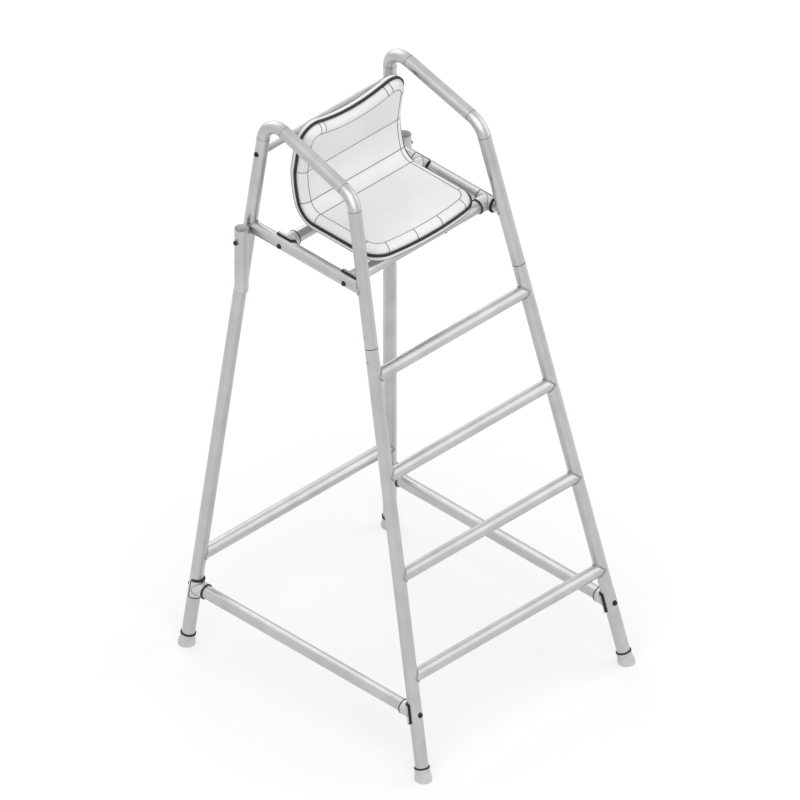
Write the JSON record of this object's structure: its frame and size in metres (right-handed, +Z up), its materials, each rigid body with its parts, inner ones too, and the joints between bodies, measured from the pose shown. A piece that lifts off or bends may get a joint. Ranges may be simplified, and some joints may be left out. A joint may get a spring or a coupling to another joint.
{
  "type": "lifeguard chair",
  "caption": "Tall lifeguard chair: a leaning ladder and rear legs of bolted tube, arm frames, a moulded seat and a socket for an umbrella pole at each back corner.",
  "frame": {"origin": "on the floor, at the middle of the four feet", "axes": "+Z up, the ladder faces -Y, left and right as seen from the front so that left is -X"},
  "size_m": [0.8846, 1.0233, 1.8743],
  "materials": {
    "satin_tube": "satin stainless steel tube",
    "plain_steel": "plain rolled stainless steel",
    "dark_fastener": "black-oxide steel fastener",
    "saddle_casting": "die-cast aluminium, tumbled",
    "plain_plastic": "turned nylon",
    "foot_rubber": "moulded grey rubber, non-marking",
    "seat_shell": "thermoformed polyethylene, fine leather grain",
    "edge_trim": "extruded rubber trim",
    "pad_nylon": "natural nylon",
    "insert_brass": "turned brass"
  },
  "bodies": {
    "chair": {"left_arm_tube": "satin_tube", "right_arm_tube": "satin_tube", "left_seat_rail": "satin_tube", "right_seat_rail": "satin_tube", "left_front_leg": "satin_tube", "right_front_leg": "satin_tube", "left_rear_leg": "satin_tube", "right_rear_leg": "satin_tube", "rung_1": "satin_tube", "rung_2": "satin_tube", "rung_3": "satin_tube", "rung_4": "satin_tube", "rear_tie_bar": "satin_tube", "left_side_tie_bar": "satin_tube", "right_side_tie_bar": "satin_tube", "left_front_joint_sleeve": "plain_steel", "right_front_joint_sleeve": "plain_steel", "left_rear_joint_sleeve": "plain_steel", "right_rear_joint_sleeve": "plain_steel", "left_front_tie_saddle": "saddle_casting", "right_front_tie_saddle": "saddle_casting", "left_rear_tie_saddle": "saddle_casting", "right_rear_tie_saddle": "saddle_casting", "left_front_seat_saddle": "saddle_casting", "right_front_seat_saddle": "saddle_casting", "left_rear_seat_saddle": "saddle_casting", "right_rear_seat_saddle": "saddle_casting", "front_seat_bar": "satin_tube", "rear_seat_bar": "satin_tube", "back_bar": "satin_tube", "back_bar_plugs": "plain_plastic", "saddle_inserts": "insert_brass", "left_front_foot": "foot_rubber", "right_front_foot": "foot_rubber", "left_rear_foot": "foot_rubber", "right_rear_foot": "foot_rubber", "tie_bolts": "dark_fastener", "seat_bar_bolts": "dark_fastener", "back_bar_bolts": "dark_fastener", "joint_screws": "plain_steel", "seat_top_shell": "seat_shell", "seat_base_shell": "seat_shell", "seat_edge_trim": "edge_trim", "left_seat_strap": "plain_steel", "right_seat_strap": "plain_steel", "seat_spacers": "plain_plastic", "seat_inserts": "insert_brass", "seat_screws": "dark_fastener", "strap_bolts": "dark_fastener", "strap_nuts": "dark_fastener", "left_umbrella_socket": "satin_tube", "right_umbrella_socket": "satin_tube", "socket_floors": "satin_tube", "socket_webs": "satin_tube", "clamp_bosses": "satin_tube"},
    "left_clamp_pad": {"left_clamp_pad": "pad_nylon"},
    "right_clamp_pad": {"right_clamp_pad": "pad_nylon"},
    "left_clamp_screw": {"left_clamp_screw": "dark_fastener"},
    "right_clamp_screw": {"right_clamp_screw": "dark_fastener"}
  },
  "joints": [
    {"name": "left_pad_slide", "type": "slide", "parent": "chair", "child": "left_clamp_pad", "axis": [1, 0, 0], "range_m": [0, 0.00201]},
    {"name": "left_screw_turn", "type": "hinge", "parent": "left_clamp_pad", "child": "left_clamp_screw", "pos_m": [-0.35394, 0.34371, 1.462], "axis": [1, 0, 0], "range_deg": [0, 576]},
    {"name": "right_pad_slide", "type": "slide", "parent": "chair", "child": "right_clamp_pad", "axis": [-1, 0, 0], "range_m": [0, 0.00201]},
    {"name": "right_screw_turn", "type": "hinge", "parent": "right_clamp_pad", "child": "right_clamp_screw", "pos_m": [0.35394, 0.34371, 1.462], "axis": [-1, 0, 0], "range_deg": [0, 576]}
  ],
  "couplings": [
    {"joint": "left_pad_slide", "follows": "left_screw_turn", "m_per_rad": 0.00019894},
    {"joint": "right_pad_slide", "follows": "right_screw_turn", "m_per_rad": 0.00019894}
  ]
}
